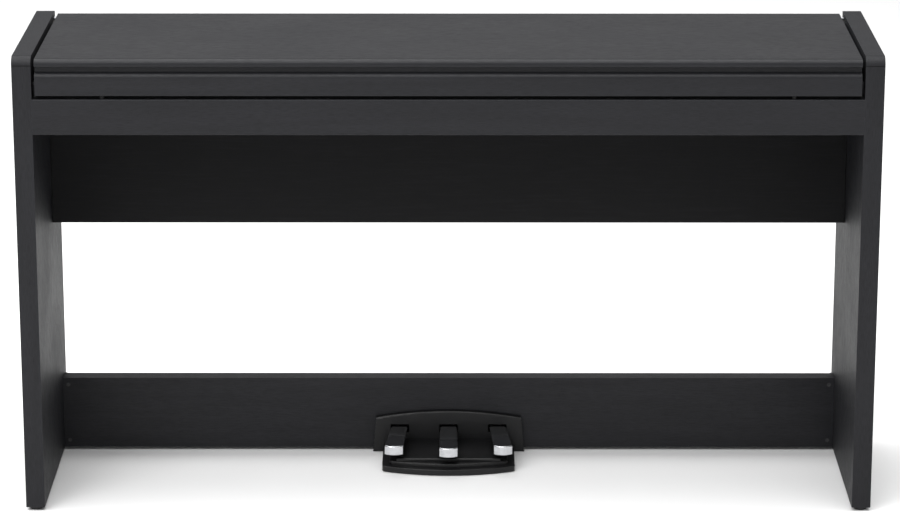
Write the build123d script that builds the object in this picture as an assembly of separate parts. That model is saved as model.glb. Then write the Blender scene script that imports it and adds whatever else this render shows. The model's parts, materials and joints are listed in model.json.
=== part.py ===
from build123d import *
import os
from math import asin, cos, hypot, sin

# Slim cabinet digital piano on its stand, with the lid closed.
# Millimetres. +Z is up, the front faces -Y and the player's right hand is +X.
# The origin is on the floor, under the middle of the piano's outer box.

# ---------------------------------------------------------------- driving dimensions

# Whole piano
depth = 351.0
height = 745.0
panel_thickness = 30.0
panel_corner_radius = 14.0

# Keyboard: two whites below the first octave, full octaves of two runs each, and one last C
octave_runs = (("c", "d", "e"), ("f", "g", "a", "b"))
whites_below_octaves = 2
full_octaves = 7
single_key_octave = 4
white_key_pitch = 23.5
key_gap = 1.0
white_key_length = 150.0
white_key_thickness = 12.0
white_key_lip_height = 20.0
white_key_lip_thickness = 4.0
white_head_length = 50.0
key_edge_radius = 1.5
black_key_length = 95.0
black_key_width = 11.5
black_key_top_width = 9.4
black_key_rise = 12.0
black_key_front_slope = 6.0
key_pivot_distance = 200.0
key_dip = 10.0
key_tail_width = 8.0
key_tail_length = 15.0
key_tail_overhang = 8.0
key_rod_radius = 2.0
felt_setback = 15.0
felt_depth = 20.0
felt_thickness = 2.5
chassis_wall = 2.5
lug_half_width = 1.0
lug_wall = 3.0

# Cheek blocks, keybed and keyslip
cheek_block_width = 36.0
cheek_gap = 0.5
cheek_rise = 10.0
cheek_front_radius = 4.0
cheek_setback = 2.5
keybed_thickness = 15.0
keyslip_thickness = 18.0
keyslip_height = 56.6
key_reveal = 12.4
key_front_gap = 5.5

# Lid
case_height = 120.0
lid_drop = 4.0
lid_thickness = 12.5
lid_side_gap = 5.2
lid_back_gap = 1.5
lid_nose_flat = 1.5
lid_nose_under_radius = 3.0
lid_rail_gap = 5.4
lid_rail_thickness = 18.0
lid_groove_height = 9.0
lid_groove_depth = 9.0
lid_shoulder_flat = 0.5
lid_pivot_inset = 11.5
lid_pin_radius = 3.0
lid_pin_seat = 15.0
lid_bush_wall = 1.5
lid_bush_length = 25.0
lid_swing_clearance = 1.4
bumper_radius = 4.0
bumper_inset = 109.0

# Rear panel and control panel
rear_panel_thickness = 15.0
rear_inset = 3.0
control_plate_thickness = 3.0
control_panel_rise = 15.0
control_flange_clearance = 2.0
music_ledge_end_inset = 311.0
music_ledge_depth = 20.0
music_ledge_base = 3.0
music_ledge_lip = 8.0
music_ledge_inset = 17.5
music_ledge_edge_radius = 1.0

# Controls
button_travel = 1.2
button_proud = 2.0
button_edge_radius = 0.5
button_flange = 1.5
button_flange_thickness = 2.0
button_flange_gap = 1.5
control_clearance = 0.3
power_button_radius = 6.0
power_button_inset = 57.5
function_button_length = 22.0
function_button_width = 9.0
function_button_insets = (187.5, 227.5)
volume_knob_inset = 117.5
volume_knob_radius = 10.0
volume_knob_edge_radius = 1.0
volume_knob_share = 0.5
volume_shaft_radius = 3.0
volume_control_depth = 12.0
volume_control_half_width = 8.0
knob_pointer_width = 1.5
knob_pointer_length = 5.0

# Circuit boards
circuit_board_thickness = 1.6
circuit_board_margin = 12.0
board_post_radius = 3.0
board_post_inset = 6.0
main_board_length = 305.0
main_board_height = 16.0
main_board_chips = 4
main_board_chip_height = 4.0
main_board_chip_share = 0.25

# Speaker box
speaker_box_height = 202.3
speaker_box_depth = 126.0
speaker_board_thickness = 12.0
speaker_cloth_thickness = 3.0
speaker_opening_radius = 50.0
speaker_flange = 12.0
speaker_flange_thickness = 3.0
speaker_cone_depth = 36.0
speaker_neck_radius = 28.0
speaker_magnet_radius = 34.0
speaker_magnet_depth = 22.0
speaker_inset = 167.5

# Stand
foot_height = 6.0
foot_radius = 11.0
foot_edge_radius = 2.0
foot_inset = 15.5
foot_stem_radius = 3.0
foot_stem_length = 8.0
stretcher_height = 122.0
stretcher_thickness = 28.0
stretcher_back_inset = 23.0
bracket_end_margin = 6.0
bracket_leg = 22.0
bracket_thickness = 2.5
bracket_screw_inset = 6.0
bracket_screw_from_corner = 9.0
case_bracket_length = 110.0
case_bracket_gap = 12.0

# Screws
screw_radius = 2.0
screw_head_radius = 3.6
screw_head_height = 2.0
screw_tip_cover = 2.5
screw_tip_gap = 0.5
screw_bite = 12.5
screw_recess_length = 4.0
screw_recess_width = 0.9
screw_recess_depth = 1.1

# Sockets
headphone_bore_radius = 3.25
headphone_bore_depth = 22.0
headphone_block_width = 20.0
headphone_block_depth = 30.0
headphone_insets = (82.5, 109.5)
headphone_cloth_gap = 92.0
power_inlet_bore_radius = 2.75
power_inlet_bore_depth = 12.0
power_inlet_barrel_radius = 5.5
power_inlet_body = 16.0
power_inlet_inset = 87.5

# Pedal unit
pedal_base_margin = 4.25
pedal_base_reach = 132.4
pedal_base_bow = 22.0
pedal_base_corner_radius = 8.0
pedal_base_thickness = 9.0
pedal_pad_height = 1.5
pedal_pad_radius = 9.0
pedal_step_one_setback = 11.6
pedal_step_one_rise = 6.5
pedal_step_one_bow = 17.6
pedal_step_two_setback = 25.7
pedal_step_two_side_setback = 24.0
pedal_step_two_rise = 5.0
pedal_step_radius = 2.5
pedal_plate_thickness = 9.0
pedal_plate_top_margin = 11.5
pedal_plate_foot_margin = 17.0
pedal_plate_edge_height = 61.5
pedal_plate_arch = 11.3
pedal_plate_floor_gap = 1.5
pedal_notch_height = 50.0
pedal_top_height = 47.0
pedal_thickness = 6.0
pedal_nose_height = 15.0
pedal_nose_depth = 11.0
pedal_nose_radius = 3.5
pedal_back_width = 27.0
pedal_tip_width = 31.5
pedal_tip_bow = 6.0
middle_pedal_reach = 130.4
outer_pedal_reach = 118.7
outer_pedal_back_x = 82.0
outer_pedal_splay = 8.0
pedal_travel = 12.0
pedal_slot_clearance = 2.2
pedal_pivot_behind = 7.5
pedal_pivot_height = 40.0
pedal_boss_radius = 9.0
pedal_boss_side_inset = 1.5
pedal_axle_radius = 4.0
pedal_ear_thickness = 6.0
pedal_cover_wall = 2.0
pedal_spring_radius = 6.0
pedal_spring_wire_radius = 0.9
pedal_spring_turns = 5

# Clearances
running_clearance = 0.05
screw_clearance = 0.1
moving_gap = 0.4
board_gap = 1.0
same_place = 0.01

# ---------------------------------------------------------------- places worked out from them

front_y = -depth / 2
back_y = depth / 2
octave_whites = sum(len(run) for run in octave_runs)
octave_width = octave_whites * white_key_pitch
white_key_count = whites_below_octaves + full_octaves * octave_whites + 1
keyboard_width = white_key_pitch * white_key_count
first_octave_x = whites_below_octaves * white_key_pitch - keyboard_width / 2
inner_half = keyboard_width / 2 + cheek_gap + cheek_block_width
outer_half = inner_half + panel_thickness

lid_top = height - lid_drop
lid_underside = lid_top - lid_thickness
lid_nose_radius = lid_thickness - lid_nose_under_radius - lid_nose_flat
lid_shoulder_radius = lid_groove_depth - lid_shoulder_flat
keybed_bottom = lid_top - case_height
keybed_top = keybed_bottom + keybed_thickness
keyslip_top = keybed_bottom + keyslip_height
keyslip_back_y = front_y + keyslip_thickness
lid_rail_bottom = keyslip_top + lid_rail_gap

key_front_y = keyslip_back_y + key_front_gap
white_top = keyslip_top + key_reveal
white_bottom = white_top - white_key_thickness
key_pivot_y = key_front_y + key_pivot_distance
key_pivot_z = white_top - white_key_thickness / 2
key_angle = asin(key_dip / key_pivot_distance)

rear_panel_back_y = back_y - rear_inset
rear_panel_front_y = rear_panel_back_y - rear_panel_thickness
control_front_y = key_front_y + white_key_length + key_gap
control_top = white_top + control_panel_rise
control_underside = control_top - control_plate_thickness
key_tail_back_y = key_pivot_y + key_tail_overhang
button_row_y = (key_tail_back_y + rear_panel_front_y) / 2
music_ledge_back_y = rear_panel_front_y - music_ledge_inset
music_ledge_half = keyboard_width / 2 - music_ledge_end_inset
space_over_controls = lid_underside - control_top - moving_gap
volume_knob_height = space_over_controls * volume_knob_share
volume_control_bottom = control_underside - volume_control_depth
power_button_x = power_button_inset - inner_half
volume_knob_x = volume_knob_inset - inner_half
function_button_xs = [inset - inner_half for inset in function_button_insets]
power_inlet_x = power_inlet_inset - inner_half
power_inlet_z = keybed_top + power_inlet_body

lid_half = inner_half - lid_side_gap
lid_back_y = back_y - lid_back_gap
lid_pivot_y = back_y - lid_pivot_inset
lid_pivot_z = lid_top - lid_thickness / 2
lid_bush_radius = lid_pin_radius + running_clearance + lid_bush_wall
lid_swing_radius = hypot(lid_back_y - lid_pivot_y, lid_thickness / 2)
rear_panel_top = lid_pivot_z - lid_swing_radius - lid_swing_clearance

speaker_box_bottom = keybed_bottom - speaker_box_height
speaker_cloth_y = rear_panel_back_y - speaker_box_depth
speaker_box_front_y = speaker_cloth_y + speaker_cloth_thickness
speaker_baffle_back_y = speaker_box_front_y + speaker_board_thickness
speaker_axis_z = keybed_bottom - speaker_box_height / 2
speaker_offset = inner_half - speaker_inset
headphone_xs = [inset - inner_half for inset in headphone_insets]
headphone_front_y = speaker_cloth_y - headphone_cloth_gap - headphone_block_depth
case_bracket_back_y = speaker_cloth_y - case_bracket_gap

stretcher_back_y = back_y - stretcher_back_inset
stretcher_front_y = stretcher_back_y - stretcher_thickness
stretcher_top = foot_height + stretcher_height

pedal_base_half = outer_pedal_back_x + outer_pedal_splay + pedal_tip_width / 2 + pedal_base_margin
pedal_base_top = pedal_pad_height + pedal_base_thickness
pedal_base_front_y = stretcher_front_y - pedal_base_reach
pedal_base_back_y = back_y - board_gap
pedal_step_one_top = pedal_base_top + pedal_step_one_rise
pedal_step_two_top = pedal_step_one_top + pedal_step_two_rise
pedal_plate_front_y = stretcher_front_y - pedal_plate_thickness
pedal_notch_half = pedal_base_half + board_gap
pedal_notch_top = foot_height + pedal_notch_height
pedal_pivot_y = stretcher_back_y + pedal_pivot_behind
pedal_angle = asin(pedal_travel / (pedal_pivot_y - stretcher_front_y + middle_pedal_reach))
pedal_bottom = pedal_top_height - pedal_thickness
pedal_boss_half = pedal_back_width / 2 - pedal_boss_side_inset
pedal_spring_y = (stretcher_front_y + stretcher_back_y) / 2


# ---------------------------------------------------------------- helpers

def block(x0, x1, y0, y1, z0, z1):
    """A box given by its low and high sides."""
    centre = Pos((x0 + x1) / 2, (y0 + y1) / 2, (z0 + z1) / 2)
    return centre * Box(x1 - x0, y1 - y0, z1 - z0)


def rod_along(axis, start, end, across, radius):
    """A round bar along one axis, from start to end; across holds its two other coordinates."""
    length = end - start
    middle = (start + end) / 2
    if axis == "x":
        return Pos(middle, across[0], across[1]) * Rot(0, 90, 0) * Cylinder(radius, length)
    if axis == "y":
        return Pos(across[0], middle, across[1]) * Rot(90, 0, 0) * Cylinder(radius, length)
    return Pos(across[0], across[1], middle) * Cylinder(radius, length)


def side_outline(points, x0, x1):
    """A closed outline of (y, z) points, pulled from x0 to x1."""
    face = Plane.YZ.offset(x0) * make_face(Polyline(*points, close=True))
    return extrude(face, amount=x1 - x0)


def plan_outline(edges, z0, z1):
    """Closed plan edges, pulled up from z0 to z1."""
    return extrude(Pos(0, 0, z0) * make_face(edges), amount=z1 - z0)


def front_edges(shape):
    """The edges along X on the shape's front, from the lowest to the highest."""
    along = shape.edges().filter_by(Axis.X)
    front = min(edge.center().Y for edge in along)
    return along.filter_by(lambda edge: edge.center().Y < front + same_place).sort_by(Axis.Z)


def group(solids):
    """Separate solids that share one node."""
    return Compound(children=list(solids))


def save(shape, node):
    export_step(shape, f"parts/{node}.step")


# ---------------------------------------------------------------- screws and brackets

def screw_places():
    """Every assembly screw: the middle of its head's top, the way it points and its length."""
    places = []
    through_stretcher = stretcher_thickness + bracket_thickness
    into_panel = bracket_thickness + panel_thickness - screw_tip_cover
    through_keybed = bracket_thickness + keybed_thickness + screw_bite
    for side in (-1, 1):
        corner_x = side * inner_half
        near_x = corner_x - side * bracket_screw_from_corner
        leaf_x = corner_x - side * bracket_thickness
        outward = (side, 0, 0)
        for z in stretcher_screw_heights():
            places.append(((near_x, stretcher_front_y, z), (0, 1, 0), through_stretcher))
            leg_y = stretcher_back_y + bracket_leg / 2 + bracket_thickness / 2
            places.append(((leaf_x, leg_y, z), outward, into_panel))
        for y in case_screw_depths():
            leg_z = keybed_bottom - bracket_leg / 2 - bracket_thickness / 2
            places.append(((leaf_x, y, leg_z), outward, into_panel))
            places.append(((near_x, y, keybed_bottom - bracket_thickness), (0, 0, 1), through_keybed))
    return places


def stretcher_screw_heights():
    inset = bracket_end_margin + bracket_screw_inset
    return foot_height + inset, stretcher_top - inset


def case_screw_depths():
    front = case_bracket_back_y - case_bracket_length
    return front + bracket_screw_inset, case_bracket_back_y - bracket_screw_inset


def screw_body(length, clearance):
    """A countersunk screw with its head's top at Z = 0 and its shank towards +Z."""
    head = Cone(screw_head_radius, screw_radius, screw_head_height)
    shank_radius = screw_radius + clearance
    shank_length = length - screw_head_height
    head = Pos(0, 0, screw_head_height / 2) * head
    shank = Pos(0, 0, screw_head_height + shank_length / 2) * Cylinder(shank_radius, shank_length)
    return head + shank


def placed(shape, place):
    """A shape whose +Z is turned to a screw's direction, at the screw's head."""
    origin, direction, _ = place
    return Plane(origin=origin, z_dir=direction).location * shape


def assembly_screws():
    recess_z = screw_recess_depth / 2
    cross = Pos(0, 0, recess_z) * Box(screw_recess_length, screw_recess_width, screw_recess_depth)
    cross += Pos(0, 0, recess_z) * Box(screw_recess_width, screw_recess_length, screw_recess_depth)
    return group(placed(screw_body(place[2], 0) - cross, place) for place in screw_places())


def drilled(shape):
    """The shape with a hole and countersink wherever an assembly screw passes."""
    box = shape.bounding_box()
    for place in screw_places():
        hole = placed(screw_body(place[2] + screw_tip_gap, screw_clearance), place)
        reach = hole.bounding_box()
        apart_x = reach.min.X > box.max.X or reach.max.X < box.min.X
        apart_y = reach.min.Y > box.max.Y or reach.max.Y < box.min.Y
        apart_z = reach.min.Z > box.max.Z or reach.max.Z < box.min.Z
        if not (apart_x or apart_y or apart_z):
            shape -= hole
    return shape


def corner_brackets():
    """Four steel angles: two stand behind the stretcher, two lie under the keybed."""
    solids = []
    z_span = (foot_height + bracket_end_margin, stretcher_top - bracket_end_margin)
    y_span = (case_bracket_back_y - case_bracket_length, case_bracket_back_y)
    for side in (-1, 1):
        corner = side * inner_half
        x_span = sorted((corner - side * bracket_leg, corner))
        leaf_span = sorted((corner - side * bracket_thickness, corner))
        upright = block(*x_span, stretcher_back_y, stretcher_back_y + bracket_thickness, *z_span)
        upright += block(*leaf_span, stretcher_back_y, stretcher_back_y + bracket_leg, *z_span)
        lying = block(*x_span, *y_span, keybed_bottom - bracket_thickness, keybed_bottom)
        lying += block(*leaf_span, *y_span, keybed_bottom - bracket_leg, keybed_bottom)
        solids += [drilled(upright), drilled(lying)]
    return group(solids)


# ---------------------------------------------------------------- stand

def foot_ys():
    return front_y + foot_inset, back_y - foot_inset


def side_panel(side):
    """A full-height slab with a rounded top front corner, drilled for feet, lid pin and screws."""
    x0, x1 = sorted((side * inner_half, side * outer_half))
    slab = block(x0, x1, front_y, back_y, foot_height, height)
    slab = fillet(front_edges(slab)[-1], panel_corner_radius)
    middle_x = (x0 + x1) / 2
    for y in foot_ys():
        slab -= rod_along("z", foot_height, foot_height + foot_stem_length, (middle_x, y), foot_stem_radius)
    seat0, seat1 = sorted((side * inner_half, side * (inner_half + lid_pin_seat)))
    slab -= rod_along("x", seat0, seat1, (lid_pivot_y, lid_pivot_z), lid_pin_radius)
    return drilled(slab)


def foot_glides():
    """Four round glides, each with a stem that is driven into a side panel."""
    solids = []
    for side in (-1, 1):
        x = side * (inner_half + outer_half) / 2
        for y in foot_ys():
            disc = rod_along("z", 0, foot_height, (x, y), foot_radius)
            disc = fillet(disc.edges().sort_by(Axis.Z)[0], foot_edge_radius)
            stem_top = foot_height + foot_stem_length
            solids.append(disc + rod_along("z", foot_height, stem_top, (x, y), foot_stem_radius))
    return group(solids)


def stretcher_board():
    """The rear rail between the side panels, notched at the bottom for the pedal unit."""
    board = block(
        -inner_half, inner_half, stretcher_front_y, stretcher_back_y, foot_height, stretcher_top
    )
    board -= block(
        -pedal_notch_half, pedal_notch_half,
        stretcher_front_y, stretcher_back_y, foot_height, pedal_notch_top,
    )
    return drilled(board)


# ---------------------------------------------------------------- speaker box

def speaker_box():
    """Top, bottom, ends and back of the speaker box, open to the front."""
    wall = speaker_board_thickness
    outer = block(
        -inner_half, inner_half, speaker_box_front_y, rear_panel_back_y, speaker_box_bottom, keybed_bottom
    )
    return outer - block(
        wall - inner_half, inner_half - wall,
        speaker_box_front_y, rear_panel_back_y - wall,
        speaker_box_bottom + wall, keybed_bottom - wall,
    )


def speaker_baffle():
    """The board behind the cloth, with a round opening for each speaker."""
    wall = speaker_board_thickness
    board = block(
        wall - inner_half, inner_half - wall,
        speaker_box_front_y, speaker_baffle_back_y,
        speaker_box_bottom + wall, keybed_bottom - wall,
    )
    for side in (-1, 1):
        centre = (side * speaker_offset, speaker_axis_z)
        board -= rod_along("y", speaker_box_front_y, speaker_baffle_back_y, centre, speaker_opening_radius)
    return board


def speaker_cloth():
    """The stretched black cloth panel over the whole front of the speaker box."""
    return block(
        -inner_half, inner_half, speaker_cloth_y, speaker_box_front_y, speaker_box_bottom, keybed_bottom
    )


def speaker_driver(x):
    """One loudspeaker: flange, cone basket and magnet about an axis along Y."""
    flange_back = speaker_flange_thickness
    neck = flange_back + speaker_cone_depth
    wall = speaker_flange_thickness
    outline = Polyline(
        (speaker_opening_radius - wall, 0),
        (speaker_opening_radius + speaker_flange, 0),
        (speaker_opening_radius + speaker_flange, flange_back),
        (speaker_opening_radius, flange_back),
        (speaker_neck_radius, neck),
        (speaker_magnet_radius, neck),
        (speaker_magnet_radius, neck + speaker_magnet_depth),
        (0, neck + speaker_magnet_depth),
        (0, neck - wall),
        (speaker_neck_radius - wall, neck - wall),
        close=True,
    )
    turned = revolve(make_face(outline), Axis.Y)
    return Pos(x, speaker_baffle_back_y, speaker_axis_z) * turned


def speaker_drivers():
    return group(speaker_driver(side * speaker_offset) for side in (-1, 1))


# ---------------------------------------------------------------- case

def keybed():
    """The board that carries the keyboard."""
    return drilled(block(
        -inner_half, inner_half, keyslip_back_y, rear_panel_front_y, keybed_bottom, keybed_top
    ))


def keyslip():
    """The front rail below the lid, with softened top and bottom front edges."""
    rail = block(-inner_half, inner_half, front_y, keyslip_back_y, keybed_bottom, keyslip_top)
    return fillet(front_edges(rail), key_edge_radius)


def cheek_block(side):
    """The block at one end of the keys, which also carries the end of the control panel."""
    x0, x1 = sorted((side * (keyboard_width / 2 + cheek_gap), side * inner_half))
    front = keyslip_back_y + cheek_setback
    top = white_top + cheek_rise
    groove_bottom = white_top + control_flange_clearance - control_clearance
    groove_front = control_front_y - control_clearance
    groove_back = control_front_y + control_plate_thickness + control_clearance
    solid = side_outline(
        [
            (front, keybed_top), (front, top), (groove_front, top), (groove_front, groove_bottom),
            (groove_back, groove_bottom), (groove_back, control_underside),
            (rear_panel_front_y, control_underside), (rear_panel_front_y, keybed_top),
        ],
        x0, x1,
    )
    return drilled(fillet(front_edges(solid)[-1], cheek_front_radius))


def rear_panel():
    """The back board of the case, with the hole for the power inlet."""
    board = block(
        -inner_half, inner_half, rear_panel_front_y, rear_panel_back_y, keybed_bottom, rear_panel_top
    )
    hole = rod_along(
        "y", rear_panel_front_y, rear_panel_back_y, (power_inlet_x, power_inlet_z), power_inlet_barrel_radius
    )
    return board - hole


def power_inlet():
    """A round low-voltage inlet: a body inside the case and a barrel through the rear panel."""
    half = power_inlet_body / 2
    body = block(
        power_inlet_x - half, power_inlet_x + half, rear_panel_front_y - power_inlet_body,
        rear_panel_front_y, power_inlet_z - half, power_inlet_z + half,
    )
    across = (power_inlet_x, power_inlet_z)
    body += rod_along("y", rear_panel_front_y, rear_panel_back_y, across, power_inlet_barrel_radius)
    mouth = rear_panel_back_y
    return body - rod_along("y", mouth - power_inlet_bore_depth, mouth, across, power_inlet_bore_radius)


def headphone_sockets():
    """Two sockets hung under the keybed, opening towards the player."""
    front = headphone_front_y
    half = headphone_block_width / 2
    solids = []
    for x in headphone_xs:
        bottom = keybed_bottom - headphone_block_width
        body = block(x - half, x + half, front, front + headphone_block_depth, bottom, keybed_bottom)
        across = (x, keybed_bottom - half)
        bore = rod_along("y", front, front + headphone_bore_depth, across, headphone_bore_radius)
        solids.append(body - bore)
    return group(solids)


# ---------------------------------------------------------------- control panel and electronics

def button_hole(x, length, width, grow):
    """The plan shape of a button or of the hole around it, as a tall prism."""
    shape = RectangleRounded(length + 2 * grow, width + 2 * grow, width / 2 - control_clearance + grow)
    face = Pos(x, button_row_y, control_underside) * shape
    return extrude(face, amount=control_plate_thickness)


def control_panel():
    """The plate behind the keys, turned down at the front, with holes for the controls."""
    plate = block(
        -inner_half, inner_half, control_front_y, rear_panel_front_y, control_underside, control_top
    )
    plate += block(
        -inner_half, inner_half, control_front_y, control_front_y + control_plate_thickness,
        white_top + control_flange_clearance, control_top,
    )
    plate = fillet(front_edges(plate)[-1], key_edge_radius)
    span = (control_underside, control_top)
    power_hole = power_button_radius + control_clearance
    shaft_hole = volume_shaft_radius + control_clearance
    plate -= rod_along("z", *span, (power_button_x, button_row_y), power_hole)
    plate -= rod_along("z", *span, (volume_knob_x, button_row_y), shaft_hole)
    for x in function_button_xs:
        plate -= button_hole(x, function_button_length, function_button_width, control_clearance)
    return plate


def button_levels():
    """Top of a button's cap, and the top and bottom of the flange that keeps it in its hole."""
    flange_top = control_underside - button_flange_gap
    return control_top + button_proud, flange_top, flange_top - button_flange_thickness


def power_button():
    cap_top, flange_top, flange_bottom = button_levels()
    at = (power_button_x, button_row_y)
    cap = rod_along("z", flange_bottom, cap_top, at, power_button_radius)
    cap = fillet(cap.edges().sort_by(Axis.Z)[-1], button_edge_radius)
    return cap + rod_along("z", flange_bottom, flange_top, at, power_button_radius + button_flange)


def function_button(x):
    cap_top, flange_top, flange_bottom = button_levels()
    radius = function_button_width / 2 - control_clearance
    place = Pos(x, button_row_y, flange_bottom)
    cap_face = RectangleRounded(function_button_length, function_button_width, radius)
    cap = extrude(place * cap_face, amount=cap_top - flange_bottom)
    cap = fillet(cap.faces().sort_by(Axis.Z)[-1].edges(), button_edge_radius)
    wide = 2 * button_flange
    flange_face = Rectangle(function_button_length + wide, function_button_width + wide)
    return cap + extrude(place * flange_face, amount=flange_top - flange_bottom)


def volume_knob():
    """A turned knob with a pointer groove, on a shaft that runs in its control."""
    at = (volume_knob_x, button_row_y)
    bottom = control_top + moving_gap
    top = bottom + volume_knob_height
    knob = rod_along("z", bottom, top, at, volume_knob_radius)
    knob = fillet(knob.edges().sort_by(Axis.Z)[-1], volume_knob_edge_radius)
    pointer_front = at[1] - volume_knob_radius
    knob -= block(
        at[0] - knob_pointer_width / 2, at[0] + knob_pointer_width / 2,
        pointer_front, pointer_front + knob_pointer_length, top - knob_pointer_width, top,
    )
    return knob + rod_along("z", volume_control_bottom, bottom, at, volume_shaft_radius)


def panel_circuit_board():
    """The board under the controls: switches below the buttons, the volume control and posts."""
    top = volume_control_bottom - button_flange
    end_margin = button_flange + board_gap + board_post_radius + board_post_inset
    left = power_button_x - power_button_radius - end_margin
    right = function_button_xs[-1] + function_button_length / 2 + end_margin
    front, back = key_tail_back_y + circuit_board_margin, rear_panel_front_y - circuit_board_margin
    board = block(left, right, front, back, top - circuit_board_thickness, top)
    switch_top = button_levels()[2] - button_travel - moving_gap
    for x in (power_button_x, *function_button_xs):
        board += rod_along("z", top, switch_top, (x, button_row_y), board_post_radius)
    at = (volume_knob_x, button_row_y)
    half = volume_control_half_width
    board += block(
        at[0] - half, at[0] + half, at[1] - half, at[1] + half, top, control_underside - moving_gap
    )
    board -= rod_along("z", top, control_underside, at, volume_shaft_radius + running_clearance)
    post_y = back - board_post_inset
    for x in (left + board_post_inset, right - board_post_inset):
        board += rod_along("z", top, control_underside, (x, post_y), board_post_radius)
    return board


def main_circuit_board():
    """The sound board on four posts above the keybed, with its larger parts."""
    board_bottom = keybed_top + main_board_height
    board_top = board_bottom + circuit_board_thickness
    front, back = key_tail_back_y + circuit_board_margin, rear_panel_front_y - circuit_board_margin
    left, right = -main_board_length / 2, main_board_length / 2
    board = block(left, right, front, back, board_bottom, board_top)
    for x in (left + board_post_inset, right - board_post_inset):
        for y in (front + board_post_inset, back - board_post_inset):
            board += rod_along("z", keybed_top, board_bottom, (x, y), board_post_radius)
    mid_y = (front + back) / 2
    for number in range(1, main_board_chips + 1):
        x = left + number * main_board_length / (main_board_chips + 1)
        half = number * (back - front) * main_board_chip_share / main_board_chips
        board += block(
            x - half, x + half, mid_y - half, mid_y + half, board_top, board_top + main_board_chip_height
        )
    return board


def music_ledge():
    """The strip that sheet music stands on, with a low lip at its front."""
    half = music_ledge_half
    front = music_ledge_back_y - music_ledge_depth
    strip = block(-half, half, front, music_ledge_back_y, control_top, control_top + music_ledge_base)
    lip_back = front + music_ledge_base
    strip += block(-half, half, front, lip_back, control_top, control_top + music_ledge_lip)
    lip_edges = strip.edges().filter_by(Axis.X).sort_by(Axis.Z)[-2:]
    return fillet(lip_edges, music_ledge_edge_radius)


# ---------------------------------------------------------------- keys

def key_sections():
    """The keyboard's runs of neighbouring whites: (first X, names in a full run, those used, octave)."""
    first_run, second_run = octave_runs
    lowest = range(len(second_run) - whites_below_octaves, len(second_run))
    sections = [(first_octave_x - len(second_run) * white_key_pitch, second_run, lowest, 0)]
    for number in range(full_octaves):
        start = first_octave_x + number * octave_width
        for run in octave_runs:
            sections.append((start, run, range(len(run)), number + 1))
            start += len(run) * white_key_pitch
    sections.append((first_octave_x + full_octaves * octave_width, first_run, range(1), full_octaves + 1))
    return sections


def slot_span(start, whites, slot):
    """The X span of one of the equal slots that a run's stems and black keys share."""
    slot_width = whites * white_key_pitch / (2 * whites - 1)
    return start + slot * slot_width, start + (slot + 1) * slot_width


def key_tail(middle_x):
    """The narrow rear end that turns on the pivot rod."""
    half = key_tail_width / 2
    return block(
        middle_x - half, middle_x + half, key_pivot_y - key_tail_length,
        key_tail_back_y, white_bottom, white_top,
    )


def bored(key):
    """The key with its pivot bore."""
    box = key.bounding_box()
    radius = key_rod_radius + running_clearance
    return key - rod_along("x", box.min.X, box.max.X, (key_pivot_y, key_pivot_z), radius)


def white_key(head, stem):
    """A white key: a full-width head with a front lip, a stem between the black keys, and a tail."""
    half_gap = key_gap / 2
    head0, head1 = head[0] + half_gap, head[1] - half_gap
    head_back = key_front_y + white_head_length
    key = block(head0, head1, key_front_y, head_back, white_bottom, white_top)
    key += block(
        head0, head1, key_front_y, key_front_y + white_key_lip_thickness,
        white_top - white_key_lip_height, white_bottom,
    )
    key = fillet(front_edges(key)[-1], key_edge_radius)
    key += block(
        stem[0] + half_gap, stem[1] - half_gap, head_back, key_pivot_y - key_tail_length,
        white_bottom, white_top,
    )
    return bored(key + key_tail((stem[0] + stem[1]) / 2))


def black_key(slot):
    """A black key: a tapered block with a sloped front on a low stem, and a tail."""
    middle = (slot[0] + slot[1]) / 2
    half = black_key_width / 2
    front = key_front_y + white_head_length + key_gap
    back = front + black_key_length
    top = white_top + black_key_rise
    stem_back = key_pivot_y - key_tail_length
    body = side_outline(
        [
            (front, white_bottom), (front, white_top), (front + black_key_front_slope, top), (back, top),
            (back, white_top), (stem_back, white_top), (stem_back, white_bottom),
        ],
        middle - half, middle + half,
    )
    top_half = black_key_top_width / 2
    taper = Plane.XZ.offset(-stem_back) * make_face(Polyline(
        (middle - half, white_bottom), (middle - half, white_top), (middle - top_half, top),
        (middle + top_half, top), (middle + half, white_top), (middle + half, white_bottom), close=True,
    ))
    body &= extrude(taper, amount=stem_back - front)
    return bored(body + key_tail(middle))


def make_keys():
    """All 88 keys, sorted into nodes: single keys for one octave, groups for the rest."""
    nodes = {}
    for start, run, used, octave in key_sections():
        region = "low" if octave < single_key_octave else "high"
        for index in used:
            head = (start + index * white_key_pitch, start + (index + 1) * white_key_pitch)
            stem = slot_span(start, len(run), 2 * index)
            lowest = octave == 0 and index == used[0]
            highest = octave > full_octaves
            stem = (head[0] if lowest else stem[0], head[1] if highest else stem[1])
            single = octave == single_key_octave
            name = f"key_{run[index]}{octave}" if single else f"white_keys_{region}"
            nodes.setdefault(name, []).append(white_key(head, stem))
            if index + 1 in used:
                name = f"key_{run[index]}_sharp{octave}" if single else f"black_keys_{region}"
                slot = slot_span(start, len(run), 2 * index + 1)
                nodes.setdefault(name, []).append(black_key(slot))
    return nodes


def lug_xs():
    """X of the chassis lugs: both ends of the keys and each octave's start."""
    left = -keyboard_width / 2
    octaves = range(full_octaves + 1)
    return [left, *(first_octave_x + number * octave_width for number in octaves), -left]


def key_felt_top():
    """Just under the pressed white keys, where the felt's front edge is furthest from the pivot."""
    reach = key_pivot_y - felt_span()[0]
    drop = key_pivot_z - white_bottom
    return key_pivot_z - reach * sin(key_angle) - drop * cos(key_angle) - moving_gap


def felt_span():
    front = key_front_y + felt_setback
    return front, front + felt_depth


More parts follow.
